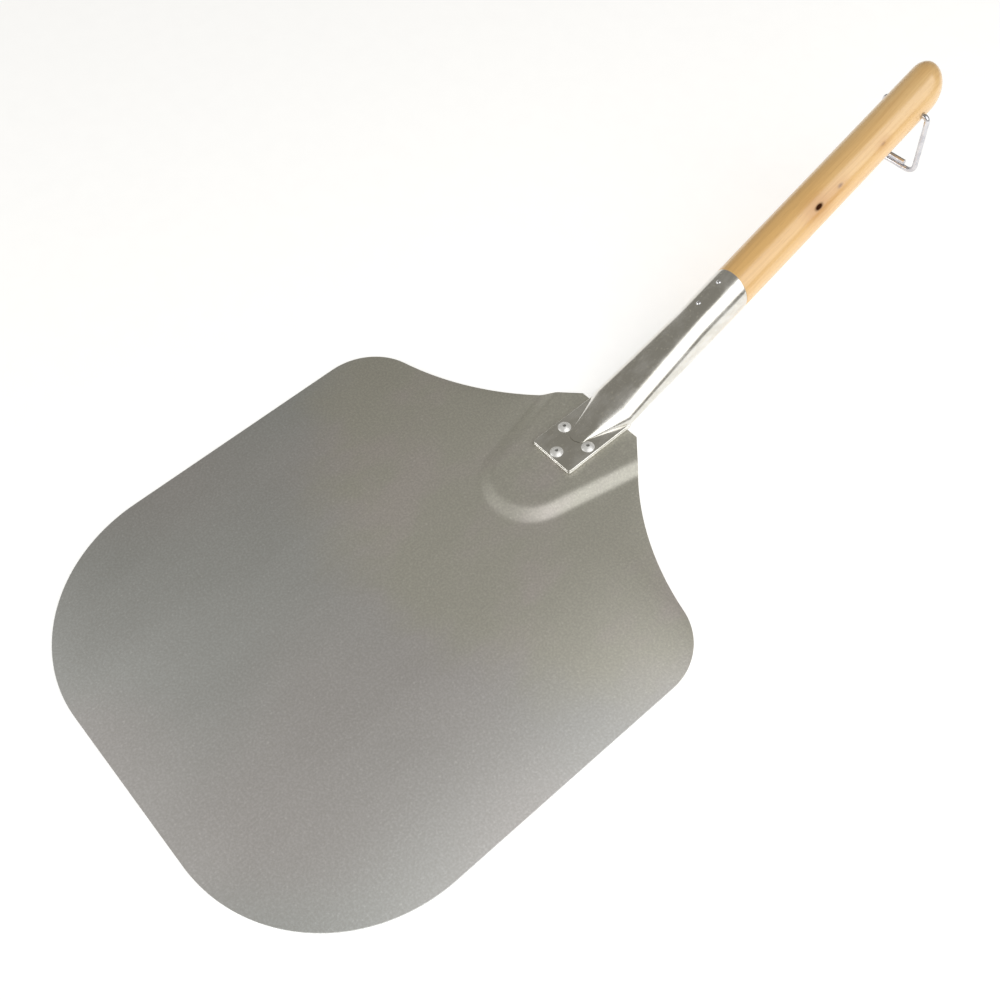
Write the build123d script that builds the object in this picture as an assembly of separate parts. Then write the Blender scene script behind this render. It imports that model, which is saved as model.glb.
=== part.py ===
"""Pizza peel: aluminium blade, polished tube socket, wooden handle and a swinging hanging bail.

Millimetres. X runs across the blade, Y along it towards the handle, Z up.
The origin is the middle of the blade's flat underside.
"""
from build123d import *
from math import acos, atan2, cos, degrees, radians, sin, sqrt, tan
import os

# Blade: a flat sheet with a raised, flared platform pressed into its neck
BLADE_WIDTH = 355.6
BLADE_LENGTH = 406.4
SHEET = 1.5
FRONT_CORNER_RADIUS = 114.0
SIDE_STRAIGHT = 175.6
SHOULDER_RADIUS = 44.9
SHOULDER_TURN = 75.2
NECK_CURVE_RADIUS = 217.8
NECK_WIDTH = 55.0

PLATFORM_RISE = 4.5
PLATFORM_SLOPE_WIDTH = 8.4
PLATFORM_END_RADIUS = 27.0
PLATFORM_END_TO_NECK = 102.4
PLATFORM_FLARE = 13.0
PLATFORM_BEND_RADIUS = 3.0

# Socket: a tube with its front end pressed flat into a two-layer pad
TUBE_RADIUS = 16.0
TUBE_WALL = 2.0
PAD_WIDTH = 37.5
PAD_FRONT_TO_NECK = 56.7
PAD_SEAM_HEIGHT = 0.25
PAD_SEAM_DEPTH = 0.9
PAD_CORNER_ROUND = 0.8
HANDLE_ANGLE = 18.7
BEND_BEHIND_NECK = 11.6
RIM_BEHIND_NECK = 120.2
WIDEST_BEHIND_NECK = 3.0
NOSE_FRONT_TO_NECK = 36.0
NOSE_FRONT_HALF_WIDTH = 7.2
NOSE_FRONT_ROUND = 8.0
NOSE_BEND = 1.5
NOSE_SOLID_LENGTH = 20.0
TUBE_LOFT_STEPS = 12
RIM_ROUND = 0.6

# Handle: a dowel with a reduced spigot inside the tube, slimmed a little to its domed end
HANDLE_RADIUS = 15.875
HANDLE_END_RADIUS = 15.2
HANDLE_TAPER_FROM_BEND = 150.0
HANDLE_TIP_FROM_BEND = 337.8
SPIGOT_LENGTH = 38.0
SPIGOT_CLEARANCE = 0.05
SPIGOT_CHAMFER = 1.5
SHOULDER_GAP = 0.1

# Blind rivets through the pad and the platform
RIVET_SHANK_RADIUS = 2.4
RIVET_HOLE_CLEARANCE = 0.05
RIVET_HEAD_RADIUS = 4.75
RIVET_HEAD_HEIGHT = 2.0
RIVET_TAIL_RADIUS = 3.5
RIVET_TAIL_LENGTH = 2.8
RIVET_TAIL_TAPER = 0.8
MANDREL_RADIUS = 1.3
MANDREL_CLEARANCE = 0.02
MANDREL_RECESS = 0.6
MANDREL_HEAD_RADIUS = 2.1
MANDREL_HEAD_LENGTH = 1.2
DOME_POINT_OUT = 0.72
DOME_POINT_UP = 0.52
REAR_RIVET_SPACING = 24.0
REAR_RIVETS_TO_NECK = 32.4
FRONT_RIVET_TO_NECK = 51.0

# Round-headed nails that hold the spigot in the tube
NAIL_ANGLE = -12.0
NAIL_STATIONS = {"front": 88.1, "rear": 108.8}
NAIL_HEAD_RADIUS = 1.8
NAIL_HEAD_HEIGHT = 0.9
NAIL_SHANK_RADIUS = 0.8
NAIL_TIP_RADIUS = 0.2
NAIL_LENGTH = 13.0
NAIL_CLEARANCE = 0.02

# Hanging bail: one bent wire, slid to one side in its hole, its ends nested in the closing side
WIRE_RADIUS = 2.0
BAIL_HOLE_CLEARANCE = 0.08
BAIL_HOLE_MOUTH = 0.7
BAIL_FROM_BEND = 300.3
BAIL_ARM_OFFSET = 18.8
BAIL_SIDE_SHIFT = 1.2
BAIL_TOP_BEND = 3.4
BAIL_CORNER_BEND = 7.0
BAIL_DROP = 50.0
BAIL_END_GAP = 0.4
BAIL_END_MARGIN = 9.0
WIRE_END_ROUND = 0.4

# Levels and stations that follow from the sizes above
NECK_Y = BLADE_LENGTH / 2
PLATFORM_TOP = SHEET + PLATFORM_RISE
PAD_THICKNESS = 2 * TUBE_WALL
PAD_TOP = PLATFORM_TOP + PAD_THICKNESS
PAD_FRONT_Y = NECK_Y - PAD_FRONT_TO_NECK
WIDEST_Y = NECK_Y + WIDEST_BEHIND_NECK
PAD_MIDDLE = PLATFORM_TOP + TUBE_WALL
BEND_POINT = Vector(0, NECK_Y + BEND_BEHIND_NECK, PAD_MIDDLE)
ALONG_HANDLE = Vector(0, cos(radians(HANDLE_ANGLE)), sin(radians(HANDLE_ANGLE)))
RIM_Y = NECK_Y + RIM_BEHIND_NECK
RIM_FROM_BEND = (RIM_Y - BEND_POINT.Y) / cos(radians(HANDLE_ANGLE))
NOSE_FRONT_Y = NECK_Y - NOSE_FRONT_TO_NECK
NOSE_SIDE_Y = NOSE_FRONT_Y + NOSE_FRONT_HALF_WIDTH
UPRIGHT_RADIUS = TUBE_RADIUS / cos(radians(HANDLE_ANGLE))
UNDERSIDE_MEETS_PAD_Y = BEND_POINT.Y + (UPRIGHT_RADIUS - TUBE_WALL) / tan(radians(HANDLE_ANGLE))
ROUND_END_Y = WIDEST_Y + (UNDERSIDE_MEETS_PAD_Y - WIDEST_Y) * 3 / 2
OVERSHOOT = 200.0


def handle_point(distance):
    """A point on the handle's axis, measured from where the axis meets the pad."""
    return BEND_POINT + ALONG_HANDLE * distance


def handle_plane(distance):
    """A plane square to the handle's axis, with its X across the peel."""
    return Plane(origin=handle_point(distance), x_dir=(1, 0, 0), z_dir=ALONG_HANDLE)


def axis_height(y):
    """Height of the handle's axis above the rest plane at a station along Y."""
    return PAD_MIDDLE + (y - BEND_POINT.Y) * tan(radians(HANDLE_ANGLE))


def mirrored_face(half_wire):
    """Close an open outline that starts and ends on the YZ plane."""
    edges = half_wire.edges() + mirror(half_wire, about=Plane.YZ).edges()
    return make_face(edges)


# ---------------------------------------------------------------- blade
def blade_outline():
    """Plan of the blade: round front corners, round shoulders and a hollow-sided neck."""
    front_y = -BLADE_LENGTH / 2
    front = Line((0, front_y), (BLADE_WIDTH / 2 - FRONT_CORNER_RADIUS, front_y))
    corner = JernArc(front @ 1, (1, 0), FRONT_CORNER_RADIUS, 90)
    side = Line(corner @ 1, corner @ 1 + Vector(0, SIDE_STRAIGHT))
    shoulder = JernArc(side @ 1, (0, 1), SHOULDER_RADIUS, SHOULDER_TURN)
    neck_corner = Vector(NECK_WIDTH / 2, NECK_Y)
    turn = neck_curve_turn(shoulder @ 1, shoulder % 1, neck_corner)
    hollow = JernArc(shoulder @ 1, shoulder % 1, NECK_CURVE_RADIUS, -turn)
    neck_side = Line(hollow @ 1, neck_corner)
    rear = Line(neck_corner, (0, NECK_Y))
    return mirrored_face(Wire([front, corner, side, shoulder, hollow, neck_side, rear]))


def neck_curve_turn(start, heading, target):
    """Degrees that the hollow curve turns before its tangent passes through the target."""
    centre = start + heading.rotate(Axis.Z, -90) * NECK_CURVE_RADIUS
    to_target = target - centre
    to_start = start - centre
    swing = degrees(atan2(to_start.Y, to_start.X) - atan2(to_target.Y, to_target.X)) % 360
    return swing - degrees(acos(NECK_CURVE_RADIUS / to_target.length))


def platform_plan(grow):
    """Tongue with a round front end and flared sides, running past the neck's rear edge."""
    radius = PLATFORM_END_RADIUS + grow
    centre_y = NECK_Y - PLATFORM_END_TO_NECK + PLATFORM_END_RADIUS
    end = JernArc((0, centre_y - radius), (1, 0), radius, 90 - PLATFORM_FLARE)
    run = (NECK_Y + BEND_BEHIND_NECK - (end @ 1).Y) / cos(radians(PLATFORM_FLARE))
    side = Line(end @ 1, end @ 1 + (end % 1) * run)
    rear = Line(side @ 1, (0, (side @ 1).Y))
    return mirrored_face(Wire([end, side, rear]))


def platform_block(bottom):
    """The raised platform as a solid with sloping sides, standing on the given level."""
    foot = Pos(0, 0, bottom) * platform_plan(PLATFORM_SLOPE_WIDTH)
    top = Pos(0, 0, bottom + PLATFORM_RISE) * platform_plan(0)
    return loft([foot, top])


def platform_bends(block, level):
    """The edges of a platform block that bend from flat to slope at one level."""
    edges = block.edges().filter_by_position(Axis.Z, level, level, inclusive=(True, True))
    rear_y = NECK_Y + BEND_BEHIND_NECK
    return edges.filter_by(lambda edge: edge.center().Y < rear_y - PLATFORM_BEND_RADIUS)


def blade():
    outline = blade_outline()
    trim = extrude(outline, PLATFORM_TOP)
    raised = platform_block(SHEET)
    raised = fillet(platform_bends(raised, PLATFORM_TOP), PLATFORM_BEND_RADIUS)
    hollow = platform_block(0)
    hollow = fillet(platform_bends(hollow, PLATFORM_RISE), PLATFORM_BEND_RADIUS)
    sheet = extrude(outline, SHEET) + (raised & trim)
    sheet = sheet - hollow
    for x, y in rivet_stations().values():
        sheet = sheet - rivet_hole(x, y)
    return sheet


# ---------------------------------------------------------------- socket
def share(value, start, end):
    """How far a value has gone from start to end, held between 0 and 1."""
    return min(1, max(0, (value - start) / (end - start)))


def tube_section(y, shrink):
    """Vertical section of the socket: a round tube that flattens and widens into the pad."""
    roundness = share(y, WIDEST_Y, ROUND_END_Y)
    spread = share(y, NOSE_SIDE_Y, WIDEST_Y) * (PAD_WIDTH / 2 - NOSE_FRONT_HALF_WIDTH)
    half_width = NOSE_FRONT_HALF_WIDTH + spread + (TUBE_RADIUS - PAD_WIDTH / 2) * roundness
    rise = axis_height(y) + UPRIGHT_RADIUS - PAD_TOP
    rise = (rise + sqrt(rise**2 + (NOSE_BEND * (1 - roundness)) ** 2)) / 2
    lift = axis_height(ROUND_END_Y) - UPRIGHT_RADIUS - PLATFORM_TOP
    upright_shrink = shrink * (1 + (UPRIGHT_RADIUS / TUBE_RADIUS - 1) * roundness)
    top = PAD_TOP + rise - upright_shrink
    bottom = PLATFORM_TOP + lift * roundness**3 + upright_shrink
    middle = PAD_TOP + (axis_height(ROUND_END_Y) - PAD_TOP) * roundness
    width = half_width - shrink
    upper = EllipticalCenterArc((0, middle), width, top - middle, 0, arc_size=180)
    lower = EllipticalCenterArc((0, middle), width, middle - bottom, 180, arc_size=180)
    upright = Plane(origin=(0, y, 0), x_dir=(1, 0, 0), z_dir=(0, -1, 0))
    return upright * make_face([upper, lower])


def upright_slab(front_y, rear_y):
    """A large block between two stations along Y."""
    middle = Pos(0, (front_y + rear_y) / 2, 0)
    return middle * Box(OVERSHOOT, rear_y - front_y, 2 * OVERSHOOT)


def tube_solid(front_y, shrink, past_rim=0):
    """Nose, flattening stretch and round tube as one solid, from front_y to the rim."""
    steps = TUBE_LOFT_STEPS
    stations = [front_y + (ROUND_END_Y - front_y) * step / steps for step in range(steps + 1)]
    pressed = loft([tube_section(y, shrink) for y in stations])
    rod = handle_plane(RIM_FROM_BEND / 2).location * Cylinder(TUBE_RADIUS - shrink, OVERSHOOT)
    straight = rod & upright_slab(ROUND_END_Y, RIM_Y + past_rim)
    return pressed + straight


def rounded_nose_limit():
    """Everything behind a round front end: what the nose may fill in plan."""
    centre_y = NOSE_FRONT_Y + NOSE_FRONT_ROUND
    end = Pos(0, centre_y, 0) * Cylinder(NOSE_FRONT_ROUND, OVERSHOOT)
    return end + upright_slab(centre_y, RIM_Y + OVERSHOOT)


def pad():
    """The two tube walls pressed together, with the seam between them along the edges."""
    length = WIDEST_Y - PAD_FRONT_Y
    centre = (0, PAD_FRONT_Y + length / 2, PLATFORM_TOP + PAD_THICKNESS / 2)
    block = Pos(*centre) * Box(PAD_WIDTH, length, PAD_THICKNESS)
    upright_edges = block.edges().filter_by(Axis.Z).sort_by(Axis.Y)[:2]
    block = fillet(upright_edges, PAD_CORNER_ROUND)
    seam = Pos(*centre) * Box(2 * PAD_WIDTH, length, PAD_SEAM_HEIGHT)
    core_width = PAD_WIDTH - 2 * PAD_SEAM_DEPTH
    core = Pos(0, centre[1] + PAD_SEAM_DEPTH, centre[2]) * Box(core_width, length, PAD_THICKNESS)
    return block - (seam - core)


def socket():
    shell = pad() + (tube_solid(NOSE_FRONT_Y, 0) & rounded_nose_limit())
    shell = shell - tube_solid(NOSE_FRONT_Y + NOSE_SOLID_LENGTH, TUBE_WALL, past_rim=1)
    rim_edges = shell.edges().filter_by_position(Axis.Y, RIM_Y, RIM_Y)
    shell = fillet(rim_edges, RIM_ROUND)
    for x, y in rivet_stations().values():
        shell = shell - rivet_hole(x, y)
    for distance in NAIL_STATIONS.values():
        shell = shell - nail_hole(distance)
    return shell


# ---------------------------------------------------------------- handle
def turned(profile_edges):
    """Revolve a closed half profile, drawn in X and Z, about the Z axis."""
    return revolve(Plane.XZ * make_face(profile_edges), axis=Axis.Z)


def grip_radius(distance):
    """Radius of the wooden handle at a distance along its axis."""
    dome_centre = HANDLE_TIP_FROM_BEND - HANDLE_END_RADIUS
    slimming = share(distance, HANDLE_TAPER_FROM_BEND, dome_centre)
    return HANDLE_RADIUS + (HANDLE_END_RADIUS - HANDLE_RADIUS) * slimming


def grip():
    """The dowel from inside the rim to its domed end, along the handle's axis."""
    start = RIM_FROM_BEND - HANDLE_RADIUS
    dome_centre = HANDLE_TIP_FROM_BEND - HANDLE_END_RADIUS
    straight = Cylinder(HANDLE_RADIUS, HANDLE_TAPER_FROM_BEND - start)
    straight = handle_plane((start + HANDLE_TAPER_FROM_BEND) / 2).location * straight
    slim = Cone(HANDLE_RADIUS, HANDLE_END_RADIUS, dome_centre - HANDLE_TAPER_FROM_BEND)
    slim = handle_plane((HANDLE_TAPER_FROM_BEND + dome_centre) / 2).location * slim
    dome = handle_plane(dome_centre).location * Sphere(HANDLE_END_RADIUS)
    shoulder_y = RIM_Y + SHOULDER_GAP
    return straight + slim + dome - upright_slab(shoulder_y - OVERSHOOT, shoulder_y)


def spigot():
    radius = TUBE_RADIUS - TUBE_WALL - SPIGOT_CLEARANCE
    length = SPIGOT_LENGTH + HANDLE_RADIUS
    centre = RIM_FROM_BEND - SPIGOT_LENGTH + length / 2
    peg = Cylinder(radius, length)
    peg = chamfer(peg.edges().sort_by(Axis.Z)[0], SPIGOT_CHAMFER)
    return handle_plane(centre).location * peg


def bail_hole():
    """Cross-hole for the bail with a small countersink at each mouth."""
    radius = WIRE_RADIUS + BAIL_HOLE_CLEARANCE
    through = Cylinder(radius, 3 * HANDLE_RADIUS)
    mouth = Cone(radius, radius + BAIL_HOLE_MOUTH, BAIL_HOLE_MOUTH)
    reach = grip_radius(BAIL_FROM_BEND) - BAIL_HOLE_MOUTH / 2
    right = Pos(0, 0, reach) * mouth
    left = Pos(0, 0, -reach) * Rot(180, 0, 0) * mouth
    return Pos(*handle_point(BAIL_FROM_BEND)) * Rot(0, 90, 0) * (through + right + left)


def handle():
    wood = grip() + spigot() - bail_hole()
    for distance in NAIL_STATIONS.values():
        wood = wood - nail_hole(distance)
    return wood


# ---------------------------------------------------------------- fasteners
def rivet_stations():
    """Side, X and Y of each rivet."""
    half = REAR_RIVET_SPACING / 2
    rear_y = NECK_Y - REAR_RIVETS_TO_NECK
    return {
        "left": (-half, rear_y),
        "right": (half, rear_y),
        "front": (0, NECK_Y - FRONT_RIVET_TO_NECK),
    }


def rivet_hole(x, y):
    return Pos(x, y, PAD_TOP / 2) * Cylinder(RIVET_SHANK_RADIUS + RIVET_HOLE_CLEARANCE, 2 * PAD_TOP)


def rivet_body(x, y):
    """Domed blind-rivet body: head on the pad, shank, and the tail set under the platform."""
    bore = MANDREL_RADIUS + MANDREL_CLEARANCE
    crown = PAD_TOP + RIVET_HEAD_HEIGHT
    tail_end = PLATFORM_RISE - RIVET_TAIL_LENGTH
    dome = ThreePointArc(
        (RIVET_HEAD_RADIUS, PAD_TOP),
        (RIVET_HEAD_RADIUS * DOME_POINT_OUT, PAD_TOP + RIVET_HEAD_HEIGHT * DOME_POINT_UP),
        (bore, crown),
    )
    outline = Polyline(
        (bore, crown),
        (bore, tail_end),
        (RIVET_TAIL_RADIUS - RIVET_TAIL_TAPER, tail_end),
        (RIVET_TAIL_RADIUS, tail_end + RIVET_TAIL_TAPER),
        (RIVET_TAIL_RADIUS, PLATFORM_RISE),
        (RIVET_SHANK_RADIUS, PLATFORM_RISE),
        (RIVET_SHANK_RADIUS, PAD_TOP),
        (RIVET_HEAD_RADIUS, PAD_TOP),
    )
    return Pos(x, y, 0) * turned([dome, outline])


def rivet_mandrel(x, y):
    """The steel stem left in a blind rivet, with the head that swelled the tail."""
    stem_top = PAD_TOP + RIVET_HEAD_HEIGHT - MANDREL_RECESS
    tail_end = PLATFORM_RISE - RIVET_TAIL_LENGTH
    head_end = tail_end - MANDREL_HEAD_LENGTH
    outline = Polyline(
        (0, head_end),
        (MANDREL_HEAD_RADIUS - MANDREL_HEAD_LENGTH / 2, head_end),
        (MANDREL_HEAD_RADIUS, tail_end - MANDREL_HEAD_LENGTH / 2),
        (MANDREL_HEAD_RADIUS, tail_end),
        (MANDREL_RADIUS, tail_end),
        (MANDREL_RADIUS, stem_top),
        (0, stem_top),
        close=True,
    )
    return Pos(x, y, 0) * turned([outline])


def nail_plane(distance):
    """Plane on the tube's skin at a nail, with Z pointing straight out of the tube."""
    turn = radians(NAIL_ANGLE)
    square_up = Vector(0, -ALONG_HANDLE.Z, ALONG_HANDLE.Y)
    outward = square_up * cos(turn) + Vector(1, 0, 0) * sin(turn)
    return Plane(origin=handle_point(distance) + outward * TUBE_RADIUS, z_dir=outward)


def nail_hole(distance):
    hole = Cylinder(NAIL_SHANK_RADIUS + NAIL_CLEARANCE, 2 * NAIL_LENGTH)
    return nail_plane(distance).location * hole


def nail(distance):
    """Round-headed nail driven through the tube wall into the spigot."""
    ball_radius = (NAIL_HEAD_RADIUS**2 + NAIL_HEAD_HEIGHT**2) / (2 * NAIL_HEAD_HEIGHT)
    ball = Pos(0, 0, NAIL_HEAD_HEIGHT - ball_radius) * Sphere(ball_radius)
    head = ball & Pos(0, 0, ball_radius) * Box(4 * ball_radius, 4 * ball_radius, 2 * ball_radius)
    tip_length = 2 * NAIL_SHANK_RADIUS
    shank_length = NAIL_LENGTH - tip_length
    shank = Pos(0, 0, -shank_length / 2) * Cylinder(NAIL_SHANK_RADIUS, shank_length)
    tip = Cone(NAIL_TIP_RADIUS, NAIL_SHANK_RADIUS, tip_length)
    tip = Pos(0, 0, tip_length / 2 - NAIL_LENGTH) * tip
    return nail_plane(distance).location * (head + shank + tip)


# ---------------------------------------------------------------- bail
def hanging_bail():
    """Wire loop hanging straight down from the cross-hole, with its ends nested."""
    arm = BAIL_ARM_OFFSET
    inner_drop = BAIL_DROP - 2 * WIRE_RADIUS - BAIL_END_GAP
    end_x = arm - BAIL_END_MARGIN
    route = FilletPolyline(
        (end_x, -inner_drop),
        (-arm, -inner_drop),
        (-arm, 0),
        (arm, 0),
        (arm, -BAIL_DROP),
        (-end_x, -BAIL_DROP),
        radius=[BAIL_CORNER_BEND, BAIL_TOP_BEND, BAIL_TOP_BEND, BAIL_CORNER_BEND],
    )
    route = Plane.XZ * route
    start = Plane(origin=route @ 0, z_dir=route % 0)
    wire = sweep(start * Circle(WIRE_RADIUS), path=route)
    ends = wire.edges().filter_by(GeomType.CIRCLE).filter_by(is_wire_end)
    wire = fillet(ends, WIRE_END_ROUND)
    return Pos(BAIL_SIDE_SHIFT, 0, 0) * Pos(*handle_point(BAIL_FROM_BEND)) * wire


def is_wire_end(edge):
    """True for the circles at the two cut ends of the bail's wire."""
    end_x = BAIL_ARM_OFFSET - BAIL_END_MARGIN
    return abs(abs(edge.arc_center.X) - end_x) < 0.01


# ---------------------------------------------------------------- assembly
def pieces():
    """Every separate piece of the peel by name."""
    made = {
        "blade": blade(),
        "socket": socket(),
        "handle": handle(),
        "hanging_bail": hanging_bail(),
    }
    for side, (x, y) in rivet_stations().items():
        made[f"rivet_body_{side}"] = rivet_body(x, y)
        made[f"rivet_mandrel_{side}"] = rivet_mandrel(x, y)
    for place, distance in NAIL_STATIONS.items():
        made[f"handle_nail_{place}"] = nail(distance)
    return made


os.makedirs("parts", exist_ok=True)
for name, shape in pieces().items():
    export_step(shape, f"parts/{name}.step")
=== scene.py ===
"""Looks of the pizza peel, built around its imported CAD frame. Blender 4.5, metres."""
import math

import bmesh
import bpy
from mathutils import Matrix, Vector


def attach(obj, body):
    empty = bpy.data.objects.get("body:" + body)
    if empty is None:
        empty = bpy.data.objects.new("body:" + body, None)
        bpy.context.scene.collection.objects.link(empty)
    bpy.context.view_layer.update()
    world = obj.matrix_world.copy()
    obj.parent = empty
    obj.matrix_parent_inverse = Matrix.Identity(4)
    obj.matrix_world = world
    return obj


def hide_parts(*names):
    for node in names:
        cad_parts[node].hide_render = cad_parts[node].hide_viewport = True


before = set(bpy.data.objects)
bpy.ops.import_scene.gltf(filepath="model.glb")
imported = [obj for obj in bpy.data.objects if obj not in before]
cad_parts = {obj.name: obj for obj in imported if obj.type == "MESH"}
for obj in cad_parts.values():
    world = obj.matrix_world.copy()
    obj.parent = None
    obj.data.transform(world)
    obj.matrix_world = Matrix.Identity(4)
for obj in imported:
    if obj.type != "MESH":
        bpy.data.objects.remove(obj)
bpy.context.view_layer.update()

MM = 0.001

# Camera: azimuth 0 looks along +Y, elevation is above the horizon. Metres and degrees
CAMERA_TARGET = (-0.0024, 0.1009, 0.0)
CAMERA_DISTANCE = 0.8347
CAMERA_AZIMUTH = 54.79
CAMERA_ELEVATION = 56.09
CAMERA_ROLL = -7.1
CAMERA_LENS = 43.48

# Studio: an even pale room, a large soft light beside the peel and a low one in front.
# Places, targets and sizes in metres, power in watts
ROOM_COLOUR = (0.275, 0.265, 0.24, 1)
WINDOW_LIGHT = {
    "place": (0.92, 0.3, 0.98),
    "target": (0, 0.3, 0.06),
    "size": (1.7, 1.36),
    "power": 11,
}
FRONT_LIGHT = {
    "place": (-0.95, -1.7, 0.75),
    "target": (0, 0.1, 0),
    "size": (1.6, 0.5),
    "power": 11,
}

# Floor, in millimetres
FLOOR_HALF_SIZE = 4000.0
FLOOR_DROP = 0.2

# Meshes: points closer than this many millimetres merge, edges sharper than the angle stay sharp
MERGE_DISTANCE = 0.002
SMOOTH_ANGLE = math.radians(35)
RING_POINTS = 96

# Blade, in millimetres as in the CAD
BLADE_WIDTH = 355.6
BLADE_LENGTH = 406.4
SHEET = 1.5
FRONT_CORNER_RADIUS = 114.0
SIDE_STRAIGHT = 175.6
SHOULDER_RADIUS = 44.9
SHOULDER_TURN = 75.2
NECK_CURVE_RADIUS = 217.8
NECK_WIDTH = 55.0
NECK_Y = BLADE_LENGTH / 2
PLATFORM_RISE = 4.5
PLATFORM_SLOPE_WIDTH = 8.4
PLATFORM_END_RADIUS = 27.0
PLATFORM_END_TO_NECK = 102.4
PLATFORM_FLARE = 13.0
PLATFORM_SOFTNESS = 2.1
PLATFORM_BEND_SHARE = 0.22
PLATFORM_GRID = 1.5
PLATFORM_REACH = 58.0
PLATFORM_FRONT_MARGIN = 12.0
EDGE_BEVEL = 0.35
EDGE_BEVEL_ANGLE = math.radians(60)
EDGE_BEVEL_SEGMENTS = 2
OUTLINE_STEP = 2.0
SHOULDER_STEP = 3.0
NECK_CURVE_STEP = 1.0

# Socket
TUBE_RADIUS = 16.0
TUBE_WALL = 2.0
PAD_WIDTH = 37.5
PAD_FRONT_Y = NECK_Y - 56.7
WIDEST_Y = NECK_Y + 3.0
PLATFORM_TOP = SHEET + PLATFORM_RISE
PAD_TOP = PLATFORM_TOP + 2 * TUBE_WALL
PAD_MIDDLE = PLATFORM_TOP + TUBE_WALL
NOSE_FRONT_Y = NECK_Y - 36.0
NOSE_FRONT_HALF_WIDTH = 7.2
NOSE_FRONT_ROUND = 8.0
NOSE_BEND = 1.5
NOSE_SOLID_LENGTH = 20.0
RIM_Y = NECK_Y + 120.2
RIM_ROUND = 0.6
RIM_TURNS = (30, 60, 90)
TUBE_STEP = 1.6
BORE_STEP = 3.0
PAD_EDGE_ROUND = 0.85
PAD_EDGE_STEP = 22
PAD_CORNER_ROUND = 2.0
PAD_CORNER_STEP = 15

# Handle
HANDLE_ANGLE = math.radians(18.7)
HANDLE_BEND = Vector((0, NECK_Y + 11.6, PAD_MIDDLE))
HANDLE_RADIUS = 15.875
HANDLE_END_RADIUS = 15.2
HANDLE_TAPER_START = 150.0
HANDLE_TIP = 336.2
SPIGOT_LENGTH = 38.0
SPIGOT_RADIUS = 13.95
SPIGOT_CHAMFER = 1.5
SHOULDER_GAP = 0.1

# Eased front edge of the grip: distance behind the rim, depth cut away, tie to the rim's plane
SHOULDER_EASING = (
    {"along": 0.0, "cut": 0.5, "rim": 1.0},
    {"along": 0.6, "cut": 0.12, "rim": 0.93},
    {"along": 1.5, "cut": 0.0, "rim": 0.85},
)
BAIL_FROM_BEND = 300.3
BAIL_HOLE_RADIUS = 2.08
BAIL_HOLE_MOUTH = 0.7
BAIL_HOLE_OVERSHOOT = 3.0
BAIL_HOLE_POINTS = 32
GRIP_STEP = 3.0
GRIP_START = 8.0
DOME_RINGS = 30
DOME_RING_SPREAD = 30.3
DOME_TIP_OFFSET = 0.42
DOME_TIP_ANGLE = -63.0
DOME_NEAR_LENGTH = 12.0
DOME_SIDE_LENGTH = 16.0
DOME_FAR_LENGTH = 26.0

# The flattened socket grows round behind the pad, and is a full tube at ROUND_END_Y
ROUND_END_STRETCH = 1.5
UPRIGHT_RADIUS = TUBE_RADIUS / math.cos(HANDLE_ANGLE)
UNDERSIDE_Y = HANDLE_BEND.y + (UPRIGHT_RADIUS - TUBE_WALL) / math.tan(HANDLE_ANGLE)
ROUND_END_Y = WIDEST_Y + (UNDERSIDE_Y - WIDEST_Y) * ROUND_END_STRETCH

# Knots in the wood: distance from the bend and angle about the axis, then core and halo radius
KNOTS = (
    {"along": 196.7, "angle": 45, "core": 3.0, "halo": 13.0},
    {"along": 218.5, "angle": 47, "core": 2.2, "halo": 8.0},
    {"along": 262.3, "angle": 54, "core": 2.0, "halo": 7.0},
)


# ---------------------------------------------------------------- camera, floor and light
def add_camera():
    azimuth, elevation = math.radians(CAMERA_AZIMUTH), math.radians(CAMERA_ELEVATION)
    back = Vector((
        math.sin(azimuth) * math.cos(elevation),
        -math.cos(azimuth) * math.cos(elevation),
        math.sin(elevation),
    ))
    data = bpy.data.cameras.new("camera")
    data.lens = CAMERA_LENS
    camera = bpy.data.objects.new("camera", data)
    look = (-back).to_track_quat("-Z", "Y").to_matrix().to_4x4()
    roll = Matrix.Rotation(math.radians(CAMERA_ROLL), 4, "Z")
    place = Matrix.Translation(Vector(CAMERA_TARGET) + back * CAMERA_DISTANCE)
    camera.matrix_world = place @ look @ roll
    bpy.context.scene.collection.objects.link(camera)
    bpy.context.scene.camera = camera


def add_area_light(name, place, target, size, power):
    data = bpy.data.lights.new(name, "AREA")
    data.shape = "RECTANGLE"
    data.size, data.size_y = size
    data.energy = power
    light = bpy.data.objects.new(name, data)
    aim = (Vector(target) - Vector(place)).to_track_quat("-Z", "Y").to_matrix().to_4x4()
    light.matrix_world = Matrix.Translation(Vector(place)) @ aim
    bpy.context.scene.collection.objects.link(light)


def add_world():
    world = bpy.data.worlds.new("studio")
    bpy.context.scene.world = world
    world.use_nodes = True
    background = world.node_tree.nodes["Background"]
    background.inputs["Color"].default_value = ROOM_COLOUR


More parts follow.
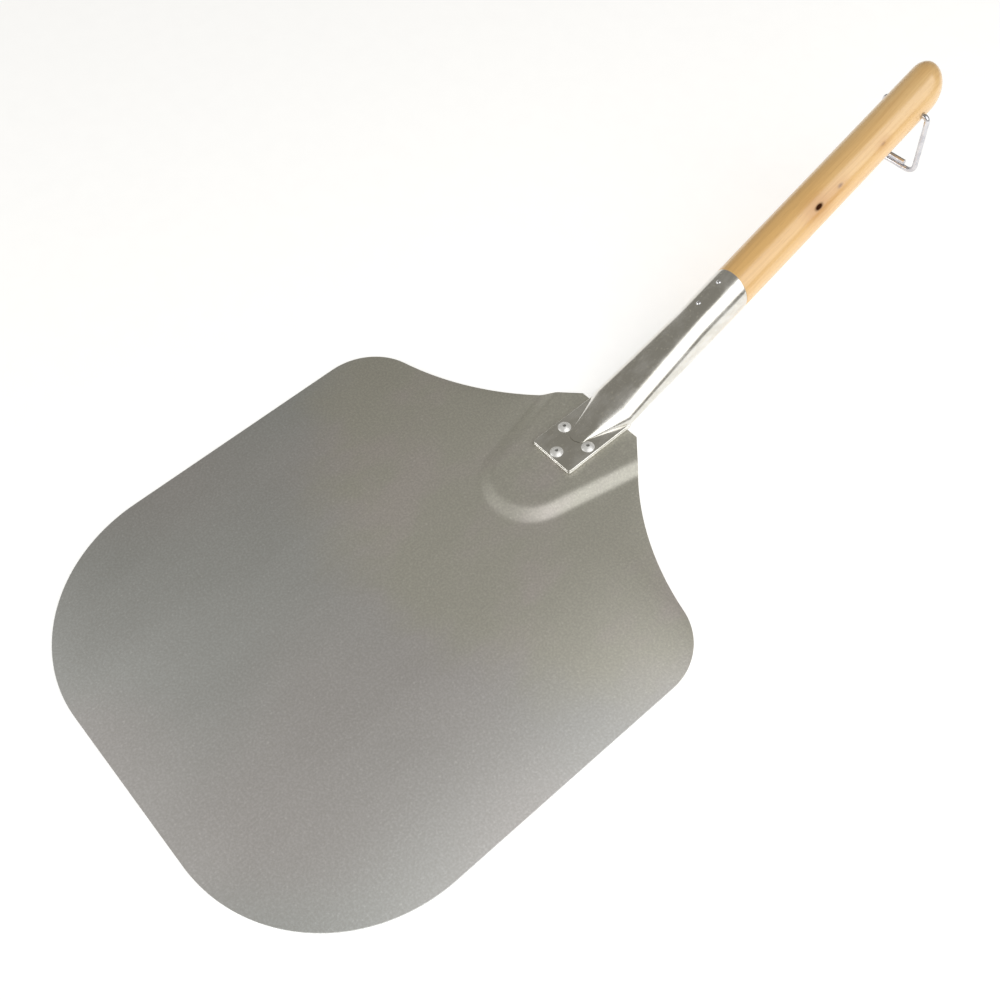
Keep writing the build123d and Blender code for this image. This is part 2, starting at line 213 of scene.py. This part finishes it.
# ---------------------------------------------------------------- material helpers
class Graph:
    """A material's node tree with one Principled shader and short ways to add nodes."""

    def __init__(self, name):
        self.material = bpy.data.materials.new(name)
        self.material.use_nodes = True
        self.tree = self.material.node_tree
        self.tree.nodes.clear()
        self.shader = self.tree.nodes.new("ShaderNodeBsdfPrincipled")
        output = self.tree.nodes.new("ShaderNodeOutputMaterial")
        self.tree.links.new(self.shader.outputs["BSDF"], output.inputs["Surface"])

    def node(self, kind, inputs=None, **settings):
        new = self.tree.nodes.new(kind)
        for key, value in settings.items():
            setattr(new, key, value)
        for key, value in (inputs or {}).items():
            if isinstance(value, bpy.types.NodeSocket):
                self.tree.links.new(value, new.inputs[key])
            else:
                new.inputs[key].default_value = value
        return new

    def set(self, **values):
        """Shader inputs by name with spaces written as underscores."""
        for key, value in values.items():
            socket = self.shader.inputs[key.replace("_", " ")]
            if isinstance(value, bpy.types.NodeSocket):
                self.tree.links.new(value, socket)
            else:
                socket.default_value = value

    def place(self):
        return self.node("ShaderNodeTexCoord").outputs["Object"]

    def mapped(self, vector, scale=(1, 1, 1), move=(0, 0, 0)):
        inputs = {"Vector": vector, "Scale": scale, "Location": move}
        return self.node("ShaderNodeMapping", inputs).outputs["Vector"]

    def noise(self, vector, scale, detail=2.0, roughness=0.5):
        """Fractal noise, about one feature in 1 / scale metres."""
        inputs = {"Vector": vector, "Scale": scale, "Detail": detail, "Roughness": roughness}
        return self.node("ShaderNodeTexNoise", inputs).outputs["Fac"]

    def maths(self, operation, a, b=0.0, clamp=False):
        made = self.node("ShaderNodeMath", {0: a, 1: b}, operation=operation, use_clamp=clamp)
        return made.outputs[0]

    def vector_maths(self, operation, a, b=(0, 0, 0)):
        made = self.node("ShaderNodeVectorMath", {0: a, 1: b}, operation=operation)
        return made.outputs["Value" if operation == "LENGTH" else "Vector"]

    def ranged(self, value, low, high, new_low=0.0, new_high=1.0):
        """A smooth step from new_low to new_high while the value goes from low to high."""
        inputs = {
            "Value": value,
            "From Min": low,
            "From Max": high,
            "To Min": new_low,
            "To Max": new_high,
        }
        return self.node("ShaderNodeMapRange", inputs, interpolation_type="SMOOTHSTEP").outputs[0]

    def mix(self, factor, a, b):
        """Colour a turning into colour b as the factor goes from 0 to 1."""
        new = self.node("ShaderNodeMix", data_type="RGBA")
        for socket, value in zip((new.inputs[0], new.inputs[6], new.inputs[7]), (factor, a, b)):
            if isinstance(value, bpy.types.NodeSocket):
                self.tree.links.new(value, socket)
            else:
                socket.default_value = (*value, 1) if isinstance(value, tuple) else value
        return new.outputs[2]

    def scaled(self, value, by):
        return self.maths("MULTIPLY", value, by)

    def bump(self, height, distance, strength):
        inputs = {"Height": height, "Distance": distance, "Strength": strength}
        return self.node("ShaderNodeBump", inputs).outputs["Normal"]


# ---------------------------------------------------------------- materials
# Colours are linear. A small scale on one axis draws a noise out into lines along that axis
def blade_material():
    """Satin aluminium: fine brushed lines and grain, olive by the neck and grey further out."""
    g = Graph("blade_brushed_aluminium")
    place = g.place()
    lines = g.noise(g.mapped(place, scale=(1.0, 0.045, 1.0)), 2600, detail=3, roughness=0.65)
    scratches = g.noise(g.mapped(place, scale=(1.0, 0.012, 1.0)), 900)
    speckle = g.noise(place, 620, detail=3, roughness=0.7)
    blotch = g.noise(g.mapped(place, scale=(1.0, 0.6, 1.0)), 17, detail=3, roughness=0.6)
    wide = g.noise(g.mapped(place, move=(0.4, 0.1, 0)), 5, detail=1)
    to_neck = g.vector_maths("SUBTRACT", place, (0, NECK_Y * MM, 0))
    from_neck = g.maths("ADD", g.vector_maths("LENGTH", to_neck), g.scaled(blotch, 0.08))
    outer = g.ranged(from_neck, 0.22, 0.28)

    olive = g.mix(g.ranged(blotch, 0.45, 0.65), (0.745, 0.735, 0.66), (0.765, 0.725, 0.69))
    grey = g.mix(g.ranged(wide, 0.35, 0.65), (0.72, 0.70, 0.70), (0.685, 0.70, 0.695))
    zoned = g.mix(outer, olive, grey)
    lined = g.mix(g.ranged(lines, 0.3, 0.7, 0.0, 0.14), zoned, (0.45, 0.44, 0.40))
    grained = g.mix(g.ranged(speckle, 0.4, 0.6, 0.3, 0.0), lined, (0.48, 0.47, 0.44))
    flecked = g.mix(g.ranged(speckle, 0.6, 0.75, 0.0, 0.5), grained, (0.98, 0.97, 0.94))
    dulling = g.maths("ADD", scratches, g.scaled(blotch, 2.0))
    g.set(Base_Color=flecked, Metallic=1.0)
    g.set(Roughness=g.ranged(dulling, 0.9, 2.1, 0.54, 0.6))
    g.set(Normal=g.bump(lines, distance=0.00002, strength=0.5))
    return g.material


def socket_material():
    """Polished aluminium with faint draw lines, small pits and smears."""
    g = Graph("socket_polished_aluminium")
    place = g.place()
    smear = g.noise(g.mapped(place, scale=(1.0, 0.5, 1.0)), 90, detail=3, roughness=0.6)
    lines = g.noise(g.mapped(place, scale=(1.0, 0.03, 1.0)), 1500)
    pits = g.noise(place, 420, roughness=0.7)
    tone = g.mix(g.ranged(smear, 0.4, 0.7), (0.72, 0.705, 0.655), (0.88, 0.87, 0.84))
    pitted = g.mix(g.ranged(pits, 0.58, 0.7, 0.0, 0.6), tone, (0.99, 0.96, 0.87))
    relief = g.maths("ADD", g.scaled(lines, 0.2), g.scaled(smear, 1.5))
    g.set(Base_Color=pitted, Metallic=1.0)
    g.set(Roughness=g.ranged(smear, 0.3, 0.75, 0.18, 0.28))
    g.set(Normal=g.bump(relief, distance=0.00002, strength=0.5))
    return g.material


def knot(g, grain_place, along, angle, radius):
    """How near a point is to a knot in the wood: 1 at its middle, 0 outside the radius."""
    turn = math.radians(angle)
    centre = Vector((math.sin(turn), -math.cos(turn), 0)) * HANDLE_RADIUS + Vector((0, 0, along))
    offset = g.vector_maths("SUBTRACT", grain_place, tuple(centre * MM))
    squeezed = g.vector_maths("MULTIPLY", offset, (1.0, 1.0, 0.55))
    distance = g.vector_maths("LENGTH", squeezed)
    return g.ranged(distance, radius * MM, 0.0)


def wood_material():
    """Honey-coloured softwood under gloss lacquer: growth lines, fine pores and three knots."""
    g = Graph("handle_lacquered_wood")
    place = g.place()
    cores = [knot(g, place, k["along"], k["angle"], k["core"]) for k in KNOTS]
    halos = [knot(g, place, k["along"], k["angle"], k["halo"]) for k in KNOTS]
    small_halos = g.scaled(g.maths("ADD", halos[1], halos[2]), 0.6)
    halo = g.maths("ADD", halos[0], small_halos, clamp=True)

    # Growth lines: flat layers across the dowel that sway along it and bend round the knots
    sway = g.noise(g.mapped(place, scale=(1.0, 1.0, 0.16)), 34)
    slab = g.node("ShaderNodeSeparateXYZ", {"Vector": place})
    across = g.maths("ADD", slab.outputs["X"], g.scaled(slab.outputs["Y"], 0.55))
    ring_place = g.maths("ADD", across, g.scaled(sway, 0.022))
    ring_place = g.maths("ADD", ring_place, g.scaled(halo, 0.0035))
    rings = g.maths("FRACT", g.scaled(ring_place, 210))
    late_wood = g.ranged(rings, 0.35, 0.98)
    streaks = g.noise(g.mapped(place, scale=(1.0, 1.0, 0.035)), 420, detail=3, roughness=0.6)
    pores = g.noise(g.mapped(place, scale=(1.0, 1.0, 0.06)), 1500)
    patch = g.noise(g.mapped(place, scale=(1.0, 1.0, 0.3)), 26)

    base = g.mix(g.ranged(patch, 0.35, 0.7), (0.97, 0.585, 0.205), (1.0, 0.67, 0.30))
    ringed = g.mix(g.scaled(late_wood, 0.16), base, (0.70, 0.36, 0.10))
    streaked = g.mix(g.ranged(streaks, 0.45, 0.75, 0.0, 0.24), ringed, (0.66, 0.34, 0.09))
    pored = g.mix(g.ranged(pores, 0.58, 0.8, 0.0, 0.22), streaked, (0.45, 0.2, 0.06))
    browned = g.mix(g.scaled(halo, 0.6), pored, (0.62, 0.25, 0.045))
    dark_core = g.maths("MULTIPLY", cores[0], 1.7, clamp=True)
    knotted = g.mix(dark_core, browned, (0.05, 0.016, 0.006))
    knotted = g.mix(g.scaled(cores[1], 0.75), knotted, (0.16, 0.05, 0.015))
    knotted = g.mix(g.scaled(cores[2], 0.55), knotted, (0.28, 0.10, 0.03))

    # The dark knot's core takes no lacquer
    lacquer = g.maths("SUBTRACT", 1.0, dark_core)
    g.set(Base_Color=knotted, Roughness=g.ranged(streaks, 0.3, 0.7, 0.38, 0.5))
    g.set(Specular_IOR_Level=g.scaled(lacquer, 0.7))
    g.set(Coat_Weight=lacquer, Coat_IOR=1.75, Coat_Roughness=0.24)
    g.set(Normal=g.bump(g.maths("ADD", pores, late_wood), distance=0.00003, strength=0.35))
    return g.material


def plated_wire_material():
    """Bright plated wire with faint drawing lines and dulled patches."""
    g = Graph("bail_plated_wire")
    place = g.place()
    patch = g.noise(place, 160, detail=3)
    lines = g.noise(g.mapped(place, scale=(1.0, 1.0, 0.05)), 2400)
    g.set(Base_Color=g.mix(g.ranged(patch, 0.4, 0.7), (0.70, 0.70, 0.73), (0.58, 0.58, 0.62)))
    g.set(Metallic=1.0, Roughness=g.ranged(patch, 0.3, 0.7, 0.2, 0.32))
    g.set(Normal=g.bump(lines, distance=0.00001, strength=0.4))
    return g.material


def fastener_material(name, bright, dull, rough_low, rough_high, metallic):
    """Small metal piece with a mottled finish."""
    g = Graph(name)
    place = g.place()
    patch = g.noise(place, 500, detail=3, roughness=0.6)
    g.set(Base_Color=g.mix(g.ranged(patch, 0.35, 0.7), bright, dull), Metallic=metallic)
    g.set(Roughness=g.ranged(patch, 0.3, 0.7, rough_low, rough_high))
    g.set(Normal=g.bump(g.noise(place, 1400), distance=0.00001, strength=0.5))
    return g.material


def floor_material():
    """Pale paper with a faint fibre, a little self-lit so that shadows stay light."""
    g = Graph("floor_paper")
    fibre = g.noise(g.place(), 60, detail=3)
    g.set(Base_Color=g.mix(g.ranged(fibre, 0.3, 0.7), (0.93, 0.93, 0.93), (0.95, 0.95, 0.95)))
    g.set(Roughness=0.95, Specular_IOR_Level=0.1)
    g.set(Emission_Color=(1, 1, 1, 1), Emission_Strength=0.48)
    return g.material


# ---------------------------------------------------------------- mesh helpers
def shade(mesh):
    """Smooth shading except at sharp edges."""
    mesh.shade_smooth()
    mesh.set_sharp_from_angle(angle=SMOOTH_ANGLE)


def new_object(name, bm):
    """A mesh object from a bmesh in millimetres."""
    bmesh.ops.remove_doubles(bm, verts=bm.verts, dist=MERGE_DISTANCE)
    bmesh.ops.recalc_face_normals(bm, faces=bm.faces)
    bmesh.ops.scale(bm, vec=(MM, MM, MM), verts=bm.verts)
    mesh = bpy.data.meshes.new(name)
    bm.to_mesh(mesh)
    bm.free()
    shade(mesh)
    made = bpy.data.objects.new(name, mesh)
    bpy.context.scene.collection.objects.link(made)
    return made


def ring_angles(count=RING_POINTS):
    """Evenly spaced angles for the points of one ring."""
    return [2 * math.pi * index / count for index in range(count)]


def rings_to_bmesh(rings):
    """A closed skin through rings of equal point counts, capped at both ends."""
    bm = bmesh.new()
    loops = [[bm.verts.new(point) for point in ring] for ring in rings]
    for lower, upper in zip(loops, loops[1:]):
        for index in range(len(lower)):
            after = (index + 1) % len(lower)
            bm.faces.new((lower[index], lower[after], upper[after], upper[index]))
    bm.faces.new(reversed(loops[0]))
    bm.faces.new(loops[-1])
    return bm


def keep_modifiers(made):
    """Replace an object's mesh by its finished one, with no modifiers left."""
    bpy.context.view_layer.update()
    graph = bpy.context.evaluated_depsgraph_get()
    mesh = bpy.data.meshes.new_from_object(made.evaluated_get(graph))
    made.modifiers.clear()
    made.data = mesh
    shade(mesh)


def boolean(target, cutter, operation):
    """Join or cut a piece with a second one, which is then removed."""
    change = target.modifiers.new("boolean", "BOOLEAN")
    change.operation = operation
    change.solver = "EXACT"
    change.object = cutter
    keep_modifiers(target)
    bpy.data.objects.remove(cutter)


def finish_piece(piece, body, material, replaced):
    """Put a detailed piece in the place of a CAD node."""
    piece.data.materials.clear()
    piece.data.materials.append(material)
    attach(piece, body)
    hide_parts(replaced)


# ---------------------------------------------------------------- blade
class Pen:
    """Draws an outline by straight runs and round turns, as a list of points."""

    def __init__(self, x, y, heading):
        self.here = Vector((x, y))
        self.heading = math.radians(heading)
        self.points = [self.here.copy()]

    def ahead(self):
        return Vector((math.cos(self.heading), math.sin(self.heading)))

    def run(self, length):
        self.here = self.here + self.ahead() * length
        self.points.append(self.here.copy())

    def turn(self, radius, degrees, step):
        """Turn left for positive degrees, right for negative ones."""
        count = max(2, math.ceil(abs(degrees) / step))
        part = math.radians(degrees) / count
        for _ in range(count):
            chord = 2 * radius * math.sin(abs(part) / 2)
            self.heading += part / 2
            self.here = self.here + self.ahead() * chord
            self.heading += part / 2
            self.points.append(self.here.copy())


def neck_curve_turn(pen, target):
    """Degrees of the hollow neck curve before its tangent passes through the target."""
    side = Vector((math.sin(pen.heading), -math.cos(pen.heading)))
    centre = pen.here + side * NECK_CURVE_RADIUS
    to_start, to_target = pen.here - centre, target - centre
    start_angle = math.atan2(to_start.y, to_start.x)
    swing = math.degrees(start_angle - math.atan2(to_target.y, to_target.x)) % 360
    return swing - math.degrees(math.acos(NECK_CURVE_RADIUS / to_target.length))


def blade_outline():
    """Right half from the middle of the front edge to the neck, then its mirror image."""
    pen = Pen(0, -BLADE_LENGTH / 2, 0)
    pen.run(BLADE_WIDTH / 2 - FRONT_CORNER_RADIUS)
    pen.turn(FRONT_CORNER_RADIUS, 90, OUTLINE_STEP)
    pen.run(SIDE_STRAIGHT)
    pen.turn(SHOULDER_RADIUS, SHOULDER_TURN, SHOULDER_STEP)
    neck_corner = Vector((NECK_WIDTH / 2, NECK_Y))
    pen.turn(NECK_CURVE_RADIUS, -neck_curve_turn(pen, neck_corner), NECK_CURVE_STEP)
    right = pen.points[1:] + [neck_corner]
    return right + [Vector((-p.x, p.y)) for p in reversed(right)]


def platform_height(x, y):
    """Height of the pressed platform: full on its tongue, then a straight slope, bends rounded."""
    flare = math.radians(PLATFORM_FLARE)
    along = y - (NECK_Y - PLATFORM_END_TO_NECK + PLATFORM_END_RADIUS)
    outside = math.hypot(x, along) - PLATFORM_END_RADIUS
    if along * math.cos(flare) + abs(x) * math.sin(flare) > 0:
        outside = abs(x) * math.cos(flare) - along * math.sin(flare) - PLATFORM_END_RADIUS
    low = PLATFORM_SLOPE_WIDTH + PLATFORM_SOFTNESS
    part = min(1, max(0, (low - outside) / (low + PLATFORM_SOFTNESS)))
    bend = PLATFORM_BEND_SHARE
    if bend < part < 1 - bend:
        return PLATFORM_RISE * (part - bend / 2) / (1 - bend)
    curve = min(part, 1 - part) ** 2 / (2 * bend * (1 - bend))
    return PLATFORM_RISE * (curve if part < bend else 1 - curve)


def add_blade():
    """The sheet as one skin, cut into a fine grid where the platform is pressed into it."""
    bm = bmesh.new()
    bm.faces.new([bm.verts.new((p.x, p.y, SHEET / 2)) for p in blade_outline()])
    columns = int(PLATFORM_REACH / PLATFORM_GRID)
    front = NECK_Y - PLATFORM_END_TO_NECK - PLATFORM_FRONT_MARGIN
    rows = int((NECK_Y - front) / PLATFORM_GRID)
    cuts = [((c * PLATFORM_GRID, 0, 0), (1, 0, 0)) for c in range(-columns, columns + 1)]
    cuts += [((0, front + row * PLATFORM_GRID, 0), (0, 1, 0)) for row in range(rows)]
    for place, normal in cuts:
        geometry = bm.verts[:] + bm.edges[:] + bm.faces[:]
        bmesh.ops.bisect_plane(bm, geom=geometry, plane_co=place, plane_no=normal)
    for vert in bm.verts:
        vert.co.z += platform_height(vert.co.x, vert.co.y)
    piece = new_object("blade_sheet", bm)
    sheet = piece.modifiers.new("sheet", "SOLIDIFY")
    sheet.thickness = SHEET * MM
    sheet.offset = 0
    edge = piece.modifiers.new("edge", "BEVEL")
    edge.width = EDGE_BEVEL * MM
    edge.segments = EDGE_BEVEL_SEGMENTS
    edge.limit_method = "ANGLE"
    edge.angle_limit = EDGE_BEVEL_ANGLE
    keep_modifiers(piece)
    return piece


# ---------------------------------------------------------------- socket
def share(value, start, end):
    """How far a value has gone from start to end, held between 0 and 1."""
    return min(1, max(0, (value - start) / (end - start)))


def axis_height(y):
    """Height of the handle's axis at a distance along the peel."""
    return PAD_MIDDLE + (y - HANDLE_BEND.y) * math.tan(HANDLE_ANGLE)


def tube_ring(y, shrink):
    """Upright section of the socket: flat at the pad, round at the rim, shrunk for the bore."""
    roundness = share(y, WIDEST_Y, ROUND_END_Y)
    spread = share(y, NOSE_FRONT_Y + NOSE_FRONT_HALF_WIDTH, WIDEST_Y)
    spread *= PAD_WIDTH / 2 - NOSE_FRONT_HALF_WIDTH
    width = NOSE_FRONT_HALF_WIDTH + spread + (TUBE_RADIUS - PAD_WIDTH / 2) * roundness - shrink
    rise = axis_height(y) + UPRIGHT_RADIUS - PAD_TOP
    rise = (rise + math.sqrt(rise**2 + (NOSE_BEND * (1 - roundness)) ** 2)) / 2
    lift = (axis_height(ROUND_END_Y) - UPRIGHT_RADIUS - PLATFORM_TOP) * roundness**3
    wall = shrink * (1 + (UPRIGHT_RADIUS / TUBE_RADIUS - 1) * roundness)
    top = PAD_TOP + rise - wall
    bottom = PLATFORM_TOP + lift + wall
    middle = PAD_TOP + (axis_height(ROUND_END_Y) - PAD_TOP) * roundness
    if y > ROUND_END_Y:
        middle = axis_height(y)
        bottom = middle - UPRIGHT_RADIUS + wall
    ring = []
    for angle in ring_angles():
        x, up = width * math.cos(angle), math.sin(angle)
        z = middle + up * (top - middle if up > 0 else middle - bottom)
        ring.append(Vector((x, max(y, nose_front(x)), z)))
    return ring


def nose_front(x):
    """Y of the nose's round front end at a distance from the middle."""
    if abs(x) >= NOSE_FRONT_ROUND:
        return NOSE_FRONT_Y
    return NOSE_FRONT_Y + NOSE_FRONT_ROUND - math.sqrt(NOSE_FRONT_ROUND**2 - x**2)


def stations(start, end, step):
    """Evenly spaced places from start to end, at most a step apart."""
    count = math.ceil((end - start) / step)
    return [start + (end - start) * index / count for index in range(count + 1)]


def add_socket():
    """Pressed nose, flattening stretch, round tube, rolled-over rim and bore as one skin."""
    rim_start = RIM_Y - RIM_ROUND
    rings = [tube_ring(y, 0) for y in stations(NOSE_FRONT_Y, rim_start, TUBE_STEP)]
    rim = []
    for turn in RIM_TURNS:
        angle = math.radians(turn)
        rim.append((rim_start + RIM_ROUND * math.sin(angle), RIM_ROUND * (1 - math.cos(angle))))
    rings += [tube_ring(out, inset) for out, inset in rim]
    rings += [tube_ring(out, TUBE_WALL - inset) for out, inset in reversed(rim)]
    bore = stations(NOSE_FRONT_Y + NOSE_SOLID_LENGTH, rim_start, BORE_STEP)
    rings += [tube_ring(y, TUBE_WALL) for y in reversed(bore)]
    tube = new_object("socket_tube", rings_to_bmesh(rings))
    boolean(tube, pressed_pad(), "UNION")
    return tube


def pressed_pad():
    """Two pressed walls with rounded front corners, bevelled edges and the seam between them."""
    half = PAD_WIDTH / 2
    corner = PAD_CORNER_ROUND
    plan = [(half, WIDEST_Y), (-half, WIDEST_Y)]
    for side, start in ((-1, 180), (1, 270)):
        for turn in range(0, 91, PAD_CORNER_STEP):
            angle = math.radians(start + turn)
            x = side * (half - corner) + corner * math.cos(angle)
            plan.append((x, PAD_FRONT_Y + corner + corner * math.sin(angle)))
    flat = TUBE_WALL / 2 - PAD_EDGE_ROUND
    rings = []
    for bottom in (PLATFORM_TOP, PAD_MIDDLE):
        for turn in range(-90, 91, PAD_EDGE_STEP):
            angle = math.radians(turn)
            inset = PAD_EDGE_ROUND * (1 - math.cos(angle))
            middle = bottom + TUBE_WALL / 2 + math.copysign(flat, turn)
            z = middle + PAD_EDGE_ROUND * math.sin(angle)
            narrowing = (half - inset) / half
            rings.append([
                Vector((x * narrowing, min(y + inset, WIDEST_Y), z)) for x, y in plan
            ])
    return new_object("pad_blank", rings_to_bmesh(rings))


# ---------------------------------------------------------------- handle
def handle_frame():
    """Places a piece drawn along +Z from the bend, with +X across the peel."""
    along = Vector((0, math.cos(HANDLE_ANGLE), math.sin(HANDLE_ANGLE)))
    down = Vector((0, math.sin(HANDLE_ANGLE), -math.cos(HANDLE_ANGLE)))
    axes = Matrix((Vector((1, 0, 0)), down, along)).transposed().to_4x4()
    return Matrix.Translation(HANDLE_BEND * MM) @ axes


def grip_radius(along):
    """The handle's radius, which falls slightly over its rear part."""
    slimming = share(along, HANDLE_TAPER_START, HANDLE_TIP - HANDLE_END_RADIUS)
    return HANDLE_RADIUS + (HANDLE_END_RADIUS - HANDLE_RADIUS) * slimming


def grip_ring(along, radius, rim=0.0):
    """A ring about the handle's axis; rim=1 lays it on the socket's upright rim plane."""
    ring = []
    for angle in ring_angles():
        x, y = radius * math.cos(angle), radius * math.sin(angle)
        upright = RIM_Y + SHOULDER_GAP - HANDLE_BEND.y - y * math.sin(HANDLE_ANGLE)
        shoulder = upright / math.cos(HANDLE_ANGLE)
        ring.append(Vector((x, y, along + (shoulder - along) * rim)))
    return ring


def rounding(along, length):
    """Quarter-round fall from 1 to 0 over the last stretch before the handle's tip."""
    return math.sqrt(1 - share(along, HANDLE_TIP - length, HANDLE_TIP) ** 2)


def dome_ring(part):
    """Ring of the hand-rounded end, whose tip lies to one side of the handle's axis."""
    along = HANDLE_TIP - DOME_FAR_LENGTH * (1 - part)
    full = grip_radius(along)
    tip = DOME_TIP_OFFSET * full
    near = tip + (full - tip) * rounding(along, DOME_NEAR_LENGTH)
    far = (full + tip) * rounding(along, DOME_FAR_LENGTH) - tip
    sideways = full * rounding(along, DOME_SIDE_LENGTH)
    turn = math.radians(DOME_TIP_ANGLE)
    toward = Vector((math.sin(turn), -math.cos(turn)))
    square = Vector((-toward.y, toward.x))
    ring = []
    for angle in ring_angles():
        out = Vector((math.cos(angle), math.sin(angle)))
        flat = toward * ((near - far) / 2 + (near + far) / 2 * out.dot(toward))
        flat += square * sideways * out.dot(square)
        ring.append(Vector((flat.x, flat.y, along)))
    return ring


def add_handle():
    """Turned wooden dowel: spigot, oblique shoulder, slim taper and a hand-rounded end."""
    rim = (RIM_Y - HANDLE_BEND.y) / math.cos(HANDLE_ANGLE)
    start = rim - SPIGOT_LENGTH
    rings = [
        grip_ring(start, SPIGOT_RADIUS - SPIGOT_CHAMFER),
        grip_ring(start + SPIGOT_CHAMFER, SPIGOT_RADIUS),
        grip_ring(rim, SPIGOT_RADIUS, rim=1.0),
    ]
    for easing in SHOULDER_EASING:
        radius = HANDLE_RADIUS - easing["cut"]
        rings.append(grip_ring(rim + easing["along"], radius, rim=easing["rim"]))
    grip = stations(rim + GRIP_START, HANDLE_TIP - DOME_FAR_LENGTH, GRIP_STEP)
    rings += [grip_ring(along, grip_radius(along)) for along in grip]
    parts = [step / DOME_RING_SPREAD for step in range(1, DOME_RINGS + 1)]
    rings += [dome_ring(math.sin(math.pi / 2 * part)) for part in parts]
    piece = new_object("handle_grip", rings_to_bmesh(rings))
    boolean(piece, bail_hole_blank(), "DIFFERENCE")
    piece.matrix_world = handle_frame()
    return piece


def bail_hole_blank():
    """A spool along X: the cross-hole with a small countersink at each mouth."""
    reach = grip_radius(BAIL_FROM_BEND)
    mouth_radius = BAIL_HOLE_RADIUS + BAIL_HOLE_MOUTH
    stops = (
        (-reach - BAIL_HOLE_OVERSHOOT, mouth_radius),
        (-reach, mouth_radius),
        (-reach + BAIL_HOLE_MOUTH, BAIL_HOLE_RADIUS),
        (reach - BAIL_HOLE_MOUTH, BAIL_HOLE_RADIUS),
        (reach, mouth_radius),
        (reach + BAIL_HOLE_OVERSHOOT, mouth_radius),
    )
    rings = []
    for x, radius in stops:
        ring = []
        for angle in ring_angles(BAIL_HOLE_POINTS):
            z = BAIL_FROM_BEND + radius * math.sin(angle)
            ring.append(Vector((x, radius * math.cos(angle), z)))
        rings.append(ring)
    return new_object("hole_blank", rings_to_bmesh(rings))


# ---------------------------------------------------------------- scene
def add_floor():
    bm = bmesh.new()
    bmesh.ops.create_grid(bm, x_segments=2, y_segments=2, size=FLOOR_HALF_SIZE)
    bmesh.ops.translate(bm, vec=(0, 0, -FLOOR_DROP), verts=bm.verts)
    floor = new_object("floor", bm)
    floor.data.materials.append(floor_material())


def paint(nodes, material):
    """Give carried-over CAD nodes a material."""
    for name in nodes:
        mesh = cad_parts[name].data
        mesh.materials.clear()
        mesh.materials.append(material)


add_camera()
add_world()
bpy.context.scene.view_settings.view_transform = "Standard"
add_area_light("window", **WINDOW_LIGHT)
add_area_light("front", **FRONT_LIGHT)
add_floor()

finish_piece(add_blade(), "peel", blade_material(), "blade")
finish_piece(add_socket(), "peel", socket_material(), "socket")
finish_piece(add_handle(), "peel", wood_material(), "handle")

rivets = ("left", "right", "front")
rivet_metal = fastener_material(
    "rivet_bright_aluminium",
    bright=(0.97, 0.97, 0.96),
    dull=(0.90, 0.90, 0.89),
    rough_low=0.26,
    rough_high=0.38,
    metallic=0.35,
)
mandrel_metal = fastener_material(
    "mandrel_dull_steel",
    bright=(0.42, 0.42, 0.41),
    dull=(0.28, 0.28, 0.27),
    rough_low=0.45,
    rough_high=0.6,
    metallic=1.0,
)
nail_metal = fastener_material(
    "nail_bright_steel",
    bright=(0.86, 0.86, 0.88),
    dull=(0.74, 0.74, 0.76),
    rough_low=0.15,
    rough_high=0.3,
    metallic=1.0,
)
paint(["hanging_bail"], plated_wire_material())
paint([f"rivet_body_{side}" for side in rivets], rivet_metal)
paint([f"rivet_mandrel_{side}" for side in rivets], mandrel_metal)
paint(["handle_nail_front", "handle_nail_rear"], nail_metal)
